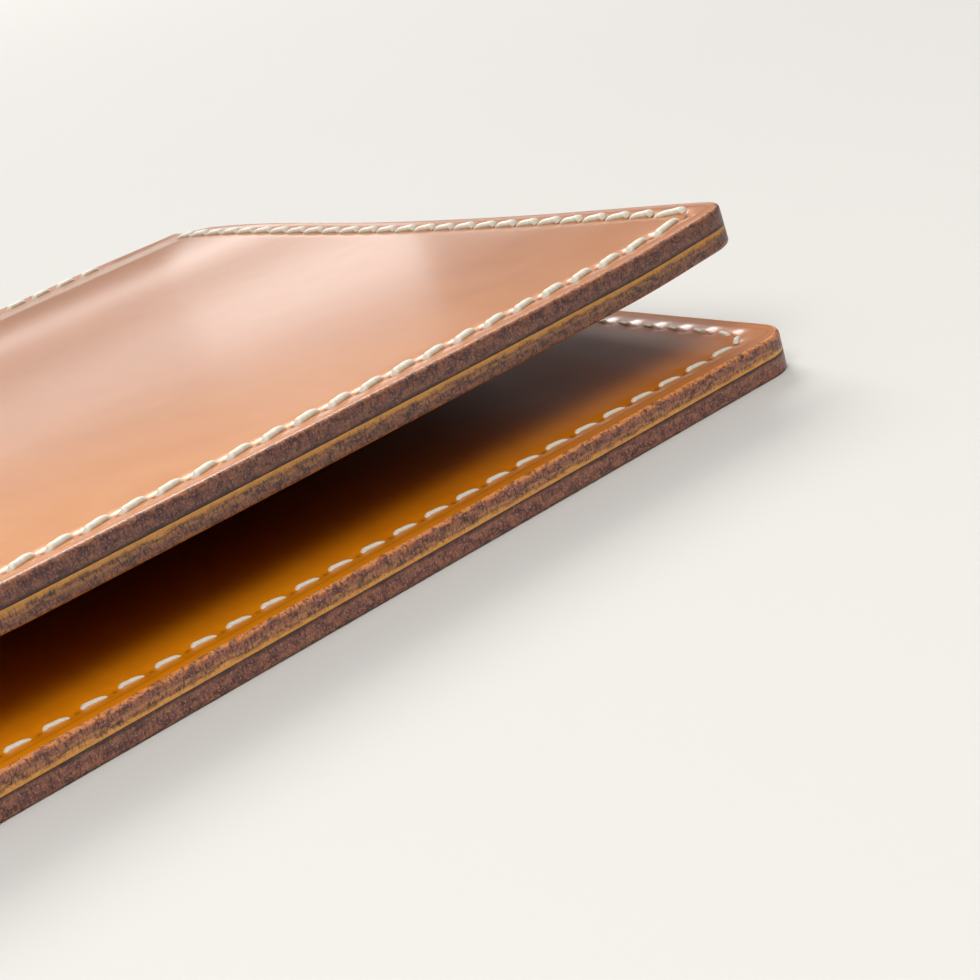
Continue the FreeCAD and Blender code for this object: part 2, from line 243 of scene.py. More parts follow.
lower = Leaf("lower", -1, LOWER_HINGE, 0.0, LOWER_RUN, LOWER_SIDE_STITCHES)
upper = Leaf("upper", 1, UPPER_HINGE, 2 * HALF_OPENING, LOWER_RUN - PITCH, UPPER_SIDE_STITCHES)


# ---------------------------------------------------------------- meshes

def new_object(name, vertices, faces, materials, face_materials=None):
    """A smooth-shaded mesh object, with a material slot for each face if they are given."""
    mesh = bpy.data.meshes.new(name)
    mesh.from_pydata([tuple(vertex) for vertex in vertices], [], faces)
    for material in materials:
        mesh.materials.append(material)
    if face_materials is not None:
        mesh.polygons.foreach_set("material_index", np.array(face_materials, np.int32))
    mesh.polygons.foreach_set("use_smooth", np.full(len(mesh.polygons), True))
    mesh.validate()
    mesh.update()
    thing = bpy.data.objects.new(name, mesh)
    bpy.context.scene.collection.objects.link(thing)
    return thing


def set_attribute(thing, name, values):
    """Stores one number or one vector for each vertex, for the materials to read."""
    values = np.asarray(values, np.float32)
    kind = "FLOAT" if values.ndim == 1 else "FLOAT_VECTOR"
    attribute = thing.data.attributes.new(name, kind, "POINT")
    attribute.data.foreach_set("value" if kind == "FLOAT" else "vector", values.ravel())


def across_steps(half_width, row_x):
    """Grid lines across a leaf, with one on every awl hole."""
    count = round(2 * row_x / PITCH * PITCH_STEPS)
    inner = np.linspace(-row_x, row_x, count + 1)
    margin = half_width - row_x
    steps = max(round(margin / PITCH * PITCH_STEPS), 1)
    outer = np.linspace(row_x, half_width, steps + 1)[1:]
    return np.concatenate([-outer[::-1], inner, outer])


def bend_steps(leaf):
    """Grid lines round the bend. The last step is tiny, so that both halves shade alike there."""
    steps = np.linspace(leaf.flat_run, leaf.full_run, BEND_STEPS + 1)[1:]
    return np.append(steps[:-1], (leaf.full_run - LAST_STEP, leaf.full_run))


def run_steps(leaf, end):
    """Grid lines from the fore-edge to end, with one on every awl hole of the sides."""
    step = PITCH / PITCH_STEPS
    margin = np.linspace(0, ROW_INSET, round(ROW_INSET / step) + 1)
    flat_end = min(end, leaf.flat_run)
    count = int((flat_end - ROW_INSET) / step)
    flat = ROW_INSET + step * np.arange(1, count + 1)
    if flat_end - flat[-1] > 0.3 * step:
        flat = np.append(flat, flat_end)
    else:
        flat[-1] = flat_end
    bend = bend_steps(leaf) if end > leaf.flat_run else np.array([])
    return np.concatenate([margin, flat, bend])


def round_corners(across, run, inset, tail):
    """Squeezes a square grid into the leaf's outline, set in by inset, with round front corners.
    tail is the run of a cut end that is set in too, or None where the leather goes on."""
    core = HALF_WIDTH - CORNER_RADIUS
    side = np.maximum(np.abs(across) - core, 0) / CORNER_RADIUS
    front = np.maximum(CORNER_RADIUS - run, 0) / CORNER_RADIUS
    reach = CORNER_RADIUS - inset
    new_side = side * np.sqrt(1 - front ** 2 / 2)
    new_front = front * np.sqrt(1 - side ** 2 / 2)
    new_across = np.where(side > 0, np.sign(across) * (core + reach * new_side), across)
    new_run = np.where(front > 0, CORNER_RADIUS - reach * new_front, run)
    if tail is not None:
        set_in = inset * (run - tail + CORNER_RADIUS) / CORNER_RADIUS
        new_run = np.where(run > tail - CORNER_RADIUS, new_run - set_in, new_run)
    return new_across, new_run


def edge_profile(outer, inner, outer_radius, inner_radius):
    """The cut edge in section, from the outer face to the inner one: (inset, lift) pairs."""
    profile = []
    sign = 1 if outer > inner else -1
    angles = [index / RIM_STEPS * math.pi / 2 for index in range(RIM_STEPS + 1)]
    for angle in angles:
        lift = outer - sign * outer_radius * (1 - math.cos(angle))
        profile.append((outer_radius * (1 - math.sin(angle)), lift))
    start = outer - sign * outer_radius
    end = inner + sign * inner_radius
    for index in range(1, WALL_STEPS):
        profile.append((0.0, start + (end - start) * index / WALL_STEPS))
    for angle in angles:
        lift = inner + sign * inner_radius * (1 - math.sin(angle))
        profile.append((inner_radius * (1 - math.cos(angle)), lift))
    return profile


def nearest_stitches(points, holes):
    """Each point's distance from the stitch row and from the nearest awl hole, up to 1 metre."""
    row = np.full(len(points), 1.0)
    near = np.full(len(points), 1.0)
    for first, second in zip(holes[:-1], holes[1:]):
        if np.linalg.norm(second - first) > LONGEST_STITCH:
            continue
        low = np.minimum(first, second) - PRESS_REACH
        high = np.maximum(first, second) + PRESS_REACH
        chosen = np.flatnonzero(np.all((points > low) & (points < high), axis=1))
        offset = points[chosen] - first
        along = second - first
        share = np.clip(offset @ along / (along @ along), 0, 1)
        gap = np.linalg.norm(offset - share[:, None] * along, axis=1)
        row[chosen] = np.minimum(row[chosen], gap)
        for point in (first, second):
            away = np.linalg.norm(points[chosen] - point, axis=1)
            near[chosen] = np.minimum(near[chosen], away)
    return row, near


def press(across, run, holes, groove, hole):
    """How deep the stitches press into the leather: a groove along each row and a dip at each
    hole. Returns the depth, and how close each point is to a hole, from 0 to 1."""
    if holes is None:
        return np.zeros(across.shape), np.zeros(across.shape)
    points = np.stack([across.ravel(), run.ravel()], axis=1)
    row, near = nearest_stitches(points, holes)
    dip = np.exp(-(near / HOLE_WIDTH) ** 2)
    depth = groove * np.exp(-(row / GROOVE_WIDTH) ** 2) + hole * dip
    return depth.reshape(across.shape), dip.reshape(across.shape)


class Plate:
    """The mesh of one cut piece of leather, with what the materials read at each vertex. outer
    and inner are the lifts of its grain and flesh faces. With open_end the piece goes on past
    its last row, so it has no cut edge there."""

    def __init__(self, leaf, end, outer, inner, open_end):
        self.leaf = leaf
        self.outer = outer
        self.inner = inner
        self.open_end = open_end
        self.tail = None if open_end else end
        self.side = 1 if outer > inner else -1
        self.run_lines = run_steps(leaf, end)
        self.across, self.run = np.meshgrid(across_steps(HALF_WIDTH, ROW_X), self.run_lines)
        self.rows, self.columns = self.across.shape
        self.vertices = []
        self.faces = []
        self.slots = []
        self.places = []
        self.dips = []
        self.insets = []
        self.levels = []

    def add_points(self, across, run, lift, dip, inset, level):
        """Adds vertices and returns the first one's number."""
        start = len(self.vertices)
        self.vertices.extend(self.leaf.place(across, run, lift).reshape(-1, 3))
        places = np.stack(np.broadcast_arrays(across, run, lift), axis=-1)
        self.places.extend(places.reshape(-1, 3))
        self.dips.extend(np.broadcast_to(dip, across.shape).ravel())
        self.insets.extend(np.broadcast_to(inset, across.shape).ravel())
        self.levels.extend(np.broadcast_to(level, across.shape).ravel())
        return start

    def add_face(self, corners, side, slot):
        """Adds a face. side says which way round its corners go."""
        self.faces.append(corners if side * self.leaf.sign > 0 else corners[::-1])
        self.slots.append(slot)

    def add_broad_face(self, lift, radius, side, pressed, first_row, level, slot):
        """Adds the vertices of the grain or the flesh face, and its faces from first_row on."""
        across, run = round_corners(self.across, self.run, radius, self.tail)
        depth, dip = press(across, run, *pressed)
        inset = np.maximum(np.minimum(HALF_WIDTH - np.abs(self.across), self.run), 0)
        start = self.add_points(across, run, lift - side * depth, dip, inset, level)
        for row in range(first_row, self.rows - 1):
            for column in range(self.columns - 1):
                corner = start + row * self.columns + column
                above = corner + self.columns
                self.add_face([corner, corner + 1, above + 1, above], side, slot)
        return start

    def border(self):
        """The rim of the grid as rows and columns: along one side, the fore-edge and the other
        side, and then along the end if it is cut."""
        rim = [(row, 0) for row in range(self.rows - 1, -1, -1)]
        rim += [(0, column) for column in range(1, self.columns)]
        rim += [(row, self.columns - 1) for row in range(1, self.rows)]
        if not self.open_end:
            rim += [(self.rows - 1, column) for column in range(self.columns - 2, 0, -1)]
        return np.array(rim).T

    def add_cut_edge(self, outer_start, inner_start):
        """Adds the edge between the two broad faces, with its rounded rims."""
        row, column = self.border()
        count = len(row)
        numbers = row * self.columns + column
        across, run = self.across[row, column], self.run[row, column]
        loops = [outer_start + numbers]
        for inset, lift in edge_profile(self.outer, self.inner, RIM_RADIUS, FLESH_RADIUS)[1:-1]:
            loop_across, loop_run = round_corners(across, run, inset, self.tail)
            level = (lift - self.inner) / (self.outer - self.inner)
            start = self.add_points(loop_across, loop_run, lift, 0.0, inset, level)
            loops.append(start + np.arange(count))
        loops.append(inner_start + numbers)
        span = count - 1 if self.open_end else count
        for near, far in zip(loops[:-1], loops[1:]):
            for first in range(span):
                second = (first + 1) % count
                corners = [near[first], far[first], far[second], near[second]]
                self.add_face([int(corner) for corner in corners], self.side, EDGE_SLOT)

    def add_glued_flesh(self, start, last):
        """Closes the flesh face up to row last with one face, where it lies on other leather."""
        ring = [start + row * self.columns for row in range(last, -1, -1)]
        ring += [start + column for column in range(1, self.columns)]
        ring += [start + row * self.columns + self.columns - 1 for row in range(1, last + 1)]
        ring += [start + last * self.columns + column for column in range(self.columns - 2, 0, -1)]
        self.add_face(ring, self.side, FLESH_SLOT)

    def to_object(self, name, materials):
        """Makes the object, without the vertices that no face uses."""
        thing = new_object(name, np.array(self.vertices), self.faces, materials, self.slots)
        order = drop_loose(thing)
        set_attribute(thing, "flat_place", np.array(self.places)[order])
        set_attribute(thing, "dip", np.array(self.dips)[order])
        set_attribute(thing, "inset", np.array(self.insets)[order])
        set_attribute(thing, "level", np.array(self.levels)[order])
        return thing


def make_plate(name, leaf, end, outer, inner, pressed, materials, open_end, full_inner):
    """A cut piece of leather. pressed is the grain face's (holes, groove depth, hole depth), and
    full_inner the run from which the flesh face is a grid."""
    plate = Plate(leaf, end, outer, inner, open_end)
    first_row = min(int(np.searchsorted(plate.run_lines, full_inner)), plate.rows - 1)
    grain = plate.add_broad_face(outer, RIM_RADIUS, plate.side, pressed, 0, 1.0, GRAIN_SLOT)
    unpressed = (None, 0, 0)
    flesh_side = -plate.side
    flesh_start = plate.add_broad_face(
        inner, FLESH_RADIUS, flesh_side, unpressed, first_row, 0.0, FLESH_SLOT
    )
    plate.add_cut_edge(grain, flesh_start)
    plate.add_glued_flesh(flesh_start, first_row)
    return plate.to_object(name, materials)


def drop_loose(thing):
    """Deletes the vertices that no face uses, and returns each kept one's old number."""
    mesh = thing.data
    numbers = mesh.attributes.new("kept", "INT", "POINT")
    numbers.data.foreach_set("value", np.arange(len(mesh.vertices), dtype=np.int32))
    work = bmesh.new()
    work.from_mesh(mesh)
    loose = [vertex for vertex in work.verts if not vertex.link_faces]
    bmesh.ops.delete(work, geom=loose, context="VERTS")
    bmesh.ops.recalc_face_normals(work, faces=work.faces)
    work.to_mesh(mesh)
    work.free()
    order = np.zeros(len(mesh.vertices), np.int32)
    mesh.attributes["kept"].data.foreach_get("value", order)
    mesh.attributes.remove(mesh.attributes["kept"])
    return order


# ---------------------------------------------------------------- stitches

# Each shape: slant is how far a stitch leans across its row and reach how much of the pitch it
# spans, both as shares of the pitch. rise is its height over the leather and sink how deep its
# ends go. Its two ends turn down more sharply the larger blunt and taper are.
PROUD = {
    "slant": 0.32, "reach": 0.95, "rise": 0.03 * MM, "sink": 0.9 * MM,
    "blunt": 12, "taper": 4.6, "radius": 0.5 * MM,
}
INNER = {
    "slant": -0.16, "reach": 0.82, "rise": -0.12 * MM, "sink": 0.9 * MM,
    "blunt": 8, "taper": 4.0, "radius": 0.33 * MM,
}
SUNK = {
    "slant": 0.3, "reach": 0.9, "rise": -0.46 * MM, "sink": 0.9 * MM,
    "blunt": 12, "taper": 4.2, "radius": 0.42 * MM,
}
SIDE_REACH = 0.82


def stitch_tube(leaf, start, end, surface, outward, shape):
    """One stitch between two holes: it comes up out of one, lies slanted and goes down the next."""
    along = end - start
    length = np.linalg.norm(along)
    along = along / length
    left = np.array([-along[1], along[0]])
    share = np.linspace(0, 1, THREAD_RINGS)
    bow = np.abs(2 * share - 1)
    middle = start + np.outer((0.5 + (share - 0.5) * shape["reach"]) * length, along)
    middle = middle + np.outer(shape["slant"] * length * (share - 0.5) * (1 - 0.35 * bow ** 4), left)
    power = np.where(share < 0.5, shape["blunt"], shape["taper"])
    height = shape["rise"] - (shape["rise"] + shape["sink"]) * bow ** power
    radius = shape["radius"] * (1 - 0.15 * bow ** 6 - 0.4 * share ** 3)
    turn = np.linspace(0, 2 * math.pi, THREAD_SIDES, endpoint=False)
    ply = 1 + 0.035 * np.cos(2 * (turn[None, :] - 2.6 * math.pi * share[:, None]))
    wide = radius[:, None] * np.cos(turn)[None, :] * ply
    tall = 0.8 * radius[:, None] * np.sin(turn)[None, :] * ply
    across = middle[:, 0][:, None] + wide * left[0]
    run = middle[:, 1][:, None] + wide * left[1]
    lift = surface + outward * (height[:, None] + tall)
    return leaf.place(across, run, lift).reshape(-1, 3), share, turn


def vary(shape, start, end, random):
    """A stitch's own shape: each is a little different, and shorter in the side rows."""
    varied = dict(shape)
    varied["slant"] = shape["slant"] * random.uniform(0.8, 1.2)
    varied["radius"] = shape["radius"] * random.uniform(0.95, 1.05)
    if abs(end[0] - start[0]) < 0.1 * PITCH:
        varied["reach"] = shape["reach"] * SIDE_REACH
    return varied


def tube_faces(base):
    """The faces of one stitch whose first vertex is base: its rings, then its two ends."""
    faces = []
    for ring in range(THREAD_RINGS - 1):
        low = base + ring * THREAD_SIDES
        high = low + THREAD_SIDES
        for side in range(THREAD_SIDES):
            following = (side + 1) % THREAD_SIDES
            faces.append([low + side, low + following, high + following, high + side])
    last = base + (THREAD_RINGS - 1) * THREAD_SIDES
    faces.append([base + side for side in range(THREAD_SIDES)][::-1])
    faces.append([last + side for side in range(THREAD_SIDES)])
    return faces


def make_thread(name, leaf, holes, sides, material):
    """All the stitches of one row, on each of the given sides (surface, outward, shape)."""
    vertices, faces, places = [], [], []
    random = np.random.default_rng(STITCH_SEED)
    for surface, outward, shape in sides:
        for start, end in zip(holes[:-1], holes[1:]):
            if not SHORTEST_STITCH < np.linalg.norm(end - start) < LONGEST_STITCH:
                continue
            varied = vary(shape, start, end, random)
            points, share, turn = stitch_tube(leaf, start, end, surface, outward, varied)
            base = len(vertices)
            vertices.extend(points)
            place = np.broadcast_arrays(share[:, None] * PITCH, turn[None, :], base * 1.0)
            places.extend(np.stack(place, axis=-1).reshape(-1, 3))
            faces.extend(tube_faces(base))
    thing = new_object(name, np.array(vertices), faces, [material])
    set_attribute(thing, "thread_place", np.array(places))
    fix_normals(thing)
    return thing


def fix_normals(thing):
    """Turns every face outwards."""
    work = bmesh.new()
    work.from_mesh(thing.data)
    bmesh.ops.recalc_face_normals(work, faces=work.faces)
    work.to_mesh(thing.data)
    work.free()


# ---------------------------------------------------------------- materials

class Nodes:
    """Short hands for building one material's node tree. Each returns an output socket."""

    def __init__(self, name):
        self.material = bpy.data.materials.new(name)
        self.material.use_nodes = True
        self.tree = self.material.node_tree
        self.shader = self.tree.nodes["Principled BSDF"]

    def add(self, kind, inputs=None, **settings):
        """The node itself, with its inputs fed and its settings set."""
        node = self.tree.nodes.new(kind)
        for key, value in settings.items():
            setattr(node, key, value)
        for key, value in (inputs or {}).items():
            self.feed(node.inputs[key], value)
        return node

    def feed(self, socket, value):
        """Links a node's output to the socket, or sets the socket to a plain value."""
        if isinstance(value, bpy.types.NodeSocket):
            self.tree.links.new(value, socket)
        else:
            socket.default_value = value

    def attribute(self, name, output="Fac"):
        """A number, or with output "Vector" a vector, stored at the mesh's vertices."""
        return self.add("ShaderNodeAttribute", attribute_name=name).outputs[output]

    def scaled(self, vector, scale):
        """A vector or colour times another, part by part."""
        node = self.add("ShaderNodeVectorMath", {0: vector, 1: scale}, operation="MULTIPLY")
        return node.outputs[0]

    def noise(self, vector, scale, detail=2.0, roughness=0.5, distortion=0.0):
        """Smooth noise from 0 to 1, with scale swells in a metre."""
        inputs = {"Vector": vector, "Scale": scale, "Detail": detail}
        inputs.update({"Roughness": roughness, "Distortion": distortion})
        return self.add("ShaderNodeTexNoise", inputs).outputs["Fac"]

    def maths(self, operation, first, second=0.0):
        """One sum."""
        return self.add("ShaderNodeMath", {0: first, 1: second}, operation=operation).outputs[0]

    def centred(self, value, width):
        """A noise value moved to lie round 0, and widened."""
        return self.maths("MULTIPLY", self.maths("SUBTRACT", value, 0.5), width)

    def spread(self, value, low, high, to_low=0.0, to_high=1.0):
        """A smooth step from to_low, where the value is low, to to_high, where it is high."""
        inputs = {"Value": value, "From Min": low, "From Max": high}
        inputs.update({"To Min": to_low, "To Max": to_high})
        node = self.add("ShaderNodeMapRange", inputs, interpolation_type="SMOOTHSTEP")
        return node.outputs["Result"]

    def mix(self, factor, first, second):
        """Mixes two colours. The node's sockets 6 and 7 are its colour inputs."""
        node = self.add("ShaderNodeMix", data_type="RGBA")
        self.feed(node.inputs[0], factor)
        self.feed(node.inputs[6], first)
        self.feed(node.inputs[7], second)
        return node.outputs[2]

    def ramp(self, factor, stops):
        """The colour at factor along the (place, colour) stops."""
        node = self.add("ShaderNodeValToRGB", {"Fac": factor})
        ramp = node.color_ramp
        while len(ramp.elements) > 1:
            ramp.elements.remove(ramp.elements[-1])
        for index, (place, tone) in enumerate(stops):
            element = ramp.elements[0] if index == 0 else ramp.elements.new(place)
            element.position = place
            element.color = tone
        return node.outputs["Color"]

    def bump(self, height, distance, strength=1.0, normal=None):
        """A normal tilted as if the surface stood out by height times distance."""
        inputs = {"Height": height, "Distance": distance, "Strength": strength}
        if normal is not None:
            inputs["Normal"] = normal
        return self.add("ShaderNodeBump", inputs).outputs["Normal"]


def colour(red, green, blue):
    """A material's colour from a screen colour, 0 to 255, made darker because the studio is bright."""
    linear = []
    for value in (red, green, blue):
        value = value / 255
        linear.append(value / 12.92 if value <= 0.04045 else ((value + 0.055) / 1.055) ** 2.4)
    return (*(value * STUDIO_SHARE for value in linear), 1.0)


def grain_tone(nodes, place, dye, crease):
    """The grain face's colour: soft mottling and streaks, deeper tones at its rim and at the awl holes,
    and a dark creased line. It also holds painted shade: it darkens towards the spine and the right side,
    and on the panels away from the rim, which only matches the light of the reference view."""
    clouds = nodes.noise(place, 55, 3, 0.55, 0.4)
    streaks = nodes.noise(nodes.scaled(place, (1.0, 0.25, 1.0)), 420, 3, 0.6, 0.2)
    tone = nodes.mix(nodes.spread(clouds, 0.3, 0.75), dye["main"], dye["pale"])
    tone = nodes.mix(nodes.spread(streaks, 0.4, 0.75, 0.0, 0.14), tone, dye["deep"])
    # Painted shade: the grain is darker towards the spine and the right side.
    parts = nodes.add("ShaderNodeSeparateXYZ", {0: place})
    aside = nodes.maths("MULTIPLY", nodes.maths("ADD", parts.outputs[0], 50 * MM), 0.8)
    way = nodes.maths("ADD", parts.outputs[1], aside)
    far = nodes.spread(way, 10 * MM, 105 * MM, 0.0, FAR_PAINTED_SHADE)
    tone = nodes.mix(far, tone, nodes.mix(0.5, dye["deep"], colour(110, 60, 34)))
    inset = nodes.attribute("inset")
    rim = nodes.spread(inset, 0.6 * MM, 4.2 * MM, 1.0, 0.0)
    tone = nodes.mix(nodes.maths("MULTIPLY", rim, dye["rim"]), tone, dye["deep"])
    # Painted shade: darker away from the rim, where the leaves shade each other.
    inside_painted_shade = nodes.spread(inset, 3 * MM, 24 * MM, 0.0, dye["inside_painted_shade"])
    tone = nodes.mix(inside_painted_shade, tone, colour(84, 34, 12))
    hole = nodes.spread(nodes.attribute("dip"), 0.45, 0.95, 0.0, dye["holes"])
    tone = nodes.mix(hole, tone, colour(70, 36, 24))
    return nodes.mix(nodes.maths("MULTIPLY", crease, 0.4), tone, colour(120, 60, 30))


def grain_leather(name, dye, roughness, coat):
    """The dyed, waxed grain face: nearly smooth, and glossy except in the stitches' grooves. Its colour
    holds painted shade from grain_tone.
    """
    nodes = Nodes(name)
    shader = nodes.shader
    place = nodes.attribute("flat_place", "Vector")
    from_crease = nodes.maths("ABSOLUTE", nodes.maths("SUBTRACT", nodes.attribute("inset"), CREASE_INSET))
    crease = nodes.spread(from_crease, 0.0, CREASE_WIDTH, 1.0, 0.0)
    nodes.feed(shader.inputs["Base Color"], grain_tone(nodes, place, dye, crease))
    gloss = nodes.noise(place, 160, 1, 0.5)
    dull = nodes.spread(gloss, 0.3, 0.7, roughness - 0.02, roughness + 0.03)
    nodes.feed(shader.inputs["Roughness"], dull)
    waxed = nodes.spread(nodes.attribute("dip"), 0.08, 0.5, coat, 0.0)
    nodes.feed(shader.inputs["Coat Weight"], waxed)
    shader.inputs["Coat Roughness"].default_value = 0.14
    shader.inputs["Coat IOR"].default_value = 1.5
    shader.inputs["Specular IOR Level"].default_value = 0.16
    swell = nodes.noise(nodes.scaled(place, (0.35, 1.0, 1.0)), 45, 1, 0.4)
    sag = nodes.bump(swell, 0.6 * MM, 0.25)
    nodes.feed(shader.inputs["Normal"], nodes.bump(crease, 0.1 * MM, -0.6, sag))
    return nodes.material


def edge_tone(nodes, place, level, stops, grains, fibres, clumps):
    """The cut edge's colour: the stops are its layers from the flesh side to the grain side,
    made ragged, with dark and pale patches and fibres. The rim next to the grain stays calm."""
    layers = nodes.noise(nodes.scaled(place, (0.22, 0.22, 1.5)), 1500, 3, 0.6, 0.2)
    shift = nodes.maths("ADD", level, nodes.centred(layers, 0.42))
    ragged = nodes.maths("ADD", nodes.centred(fibres, 0.2), nodes.centred(clumps, 0.34))
    moved = nodes.maths("ADD", shift, ragged)
    rim = nodes.spread(level, 0.84, 0.95)
    moved = nodes.add("ShaderNodeMix", {0: rim, 2: moved, 3: level}, data_type="FLOAT").outputs[0]
    tone = nodes.ramp(moved, stops)
    patches = nodes.noise(nodes.scaled(place, (0.6, 0.6, 1.0)), 1300, 4, 0.65, 0.3)
    calm = nodes.spread(level, 0.08, 0.28, 0.2, 1.0)
    layers_over = [
        (nodes.spread(patches, 0.52, 0.38, 0.0, 0.75), colour(64, 36, 36)),
        (nodes.spread(patches, 0.5, 0.62, 0.0, 0.6), colour(172, 112, 72)),
        (nodes.spread(grains, 0.52, 0.64, 0.0, 0.75), colour(190, 142, 122)),
        (nodes.spread(fibres, 0.5, 0.36, 0.0, 0.8), colour(50, 28, 30)),
    ]
    for amount, over in layers_over:
        tone = nodes.mix(nodes.maths("MULTIPLY", amount, calm), tone, over)
    return tone


def cut_edge(name, stops, lift=1.0):
    """The burnished cut edge: short fibres stand across the thickness, in ragged layers. The lift
    brightens it with painted light."""
    nodes = Nodes(name)
    shader = nodes.shader
    place = nodes.attribute("flat_place", "Vector")
    grains = nodes.noise(place, 4600, 3, 0.65, 0.1)
    fibres = nodes.noise(nodes.scaled(place, (1.0, 1.0, 0.4)), 4000, 3, 0.65, 0.2)
    clumps = nodes.noise(place, 420, 3, 0.6)
    tone = edge_tone(nodes, place, nodes.attribute("level"), stops, grains, fibres, clumps)
    nodes.feed(shader.inputs["Base Color"], nodes.scaled(tone, (lift, lift, lift)))
    nodes.feed(shader.inputs["Roughness"], nodes.spread(grains, 0.3, 0.7, 0.38, 0.62))
    shader.inputs["Coat Weight"].default_value = 0.25
    shader.inputs["Coat Roughness"].default_value = 0.25
    soft = nodes.bump(clumps, 0.4 * MM, 0.5)
    coarse = nodes.bump(fibres, 0.14 * MM, 0.7, soft)
    nodes.feed(shader.inputs["Normal"], nodes.bump(grains, 0.08 * MM, 0.7, coarse))
    return nodes.material


def flesh_leather(name, main, deep):
    """The undyed back of the leather: matt, with short loose fibres."""
    nodes = Nodes(name)
    place = nodes.attribute("flat_place", "Vector")
    clouds = nodes.noise(place, 120, 4, 0.65, 0.5)
    fibres = nodes.noise(place, 2400, 4, 0.7, 1.2)
    tone = nodes.mix(nodes.spread(clouds, 0.3, 0.7), main, deep)
    tone = nodes.mix(nodes.spread(fibres, 0.5, 0.75, 0.0, 0.4), tone, deep)
    nodes.feed(nodes.shader.inputs["Base Color"], tone)
    nodes.feed(nodes.shader.inputs["Roughness"], nodes.spread(fibres, 0.3, 0.7, 0.62, 0.85))
    nodes.feed(nodes.shader.inputs["Normal"], nodes.bump(fibres, 0.12 * MM, 0.6))
    return nodes.material


def waxed_thread():
    """Twisted linen under wax."""
    nodes = Nodes("waxed_thread")
    place = nodes.attribute("thread_place", "Vector")
    parts = nodes.add("ShaderNodeSeparateXYZ", {0: place})
    around = nodes.maths("MULTIPLY", parts.outputs[1], PLIES)
    advance = nodes.maths("MULTIPLY", parts.outputs[0], -TWIST_RATE)
    twist = nodes.spread(nodes.maths("SINE", nodes.maths("ADD", around, advance)), -1.0, 1.0)
    spot = nodes.add("ShaderNodeNewGeometry").outputs["Position"]
    fuzz = nodes.noise(spot, 5200, 3, 0.6)
    tone = nodes.mix(twist, colour(254, 244, 220), colour(255, 252, 236))
    tone = nodes.mix(nodes.spread(fuzz, 0.5, 0.75, 0.0, 0.3), tone, colour(244, 222, 182))
    nodes.feed(nodes.shader.inputs["Base Color"], tone)
    nodes.shader.inputs["Roughness"].default_value = 0.55
    nodes.shader.inputs["Sheen Weight"].default_value = 0.2
    rope = nodes.bump(twist, 0.03 * MM, 0.5)
    nodes.feed(nodes.shader.inputs["Normal"], nodes.bump(fuzz, 0.04 * MM, 0.5, rope))
    return nodes.material


# The layers of each leather's cut edge, from its flesh side at 0 to its grain side at 1.
SHELL_STOPS = [
    (0.0, colour(58, 34, 28)),
    (0.08, colour(72, 44, 38)),
    (0.20, colour(138, 84, 66)),
    (0.50, colour(130, 78, 68)),
    (0.80, colour(142, 80, 60)),
    (0.90, colour(140, 76, 48)),
    (0.96, colour(206, 120, 58)),
    (1.0, colour(230, 142, 66)),
]
PANEL_STOPS = [
    (0.0, colour(240, 170, 84)),
    (0.19, colour(238, 164, 68)),
    (0.27, colour(178, 114, 56)),
    (0.33, colour(146, 92, 62)),
    (0.42, colour(200, 136, 72)),
    (0.52, colour(142, 88, 64)),
    (0.76, colour(146, 88, 66)),
    (0.84, colour(166, 96, 54)),
    (0.91, colour(212, 126, 54)),
    (1.0, colour(224, 136, 50)),
]
# Each dye: its tones, and how much darker the rim, the inside and the holes are. They were judged from
# the reference view. The panel's darker inside is painted shade, put in only to match the light there.
TAN_DYE = {
    "main": colour(238, 146, 52), "deep": colour(208, 112, 36), "pale": colour(240, 152, 60),
    "rim": 0.35, "inside_painted_shade": 0.0, "holes": 1.0,
}
AMBER_DYE = {
    "main": colour(246, 144, 8), "deep": colour(176, 84, 4), "pale": colour(250, 152, 16),
    "rim": 0.0, "inside_painted_shade": 0.42, "holes": 0.5,
}
LINING_DYE = {
    "main": AMBER_DYE["deep"], "deep": colour(120, 62, 22), "pale": AMBER_DYE["main"],
    "rim": 0.35, "inside_painted_shade": 0.0, "holes": 0.7,
}
# How much painted light brightens the lower leaf's cut edges, only to match the reference view.
LOWER_EDGE_PAINTED_LIGHT = 1.6

shell_face = grain_leather("shell_grain", TAN_DYE, 0.3, 0.66)
panel_face = grain_leather("panel_grain", AMBER_DYE, 0.3, 0.4)
lining_face = grain_leather("lining_grain", LINING_DYE, 0.4, 0.1)
# The lower leaf's edges are lit copies of the upper ones, brightened with painted light.
shell_edges = {
    "upper": cut_edge("shell_edge_upper", SHELL_STOPS),
    "lower": cut_edge("shell_edge_lower_painted_light", SHELL_STOPS, LOWER_EDGE_PAINTED_LIGHT),
}
panel_edges = {
    "upper": cut_edge("panel_edge_upper", PANEL_STOPS),
    "lower": cut_edge("panel_edge_lower_painted_light", PANEL_STOPS, LOWER_EDGE_PAINTED_LIGHT),
}
flesh = flesh_leather("flesh_side", colour(196, 140, 92), colour(150, 98, 60))
thread_material = waxed_thread()


# ---------------------------------------------------------------- the wallet's pieces

SHELL_OUT = SHELL_THICKNESS / 2
SHELL_IN = -SHELL_THICKNESS / 2
PANEL_IN = SHELL_IN - PANEL_THICKNESS
LINING_IN = SHELL_IN - LINING_THICKNESS


def both_rows(leaf):
    """The holes of the shell: the edge row, then the row beside the fold."""
    return np.concatenate([leaf.edge_holes(), leaf.spine_holes()])


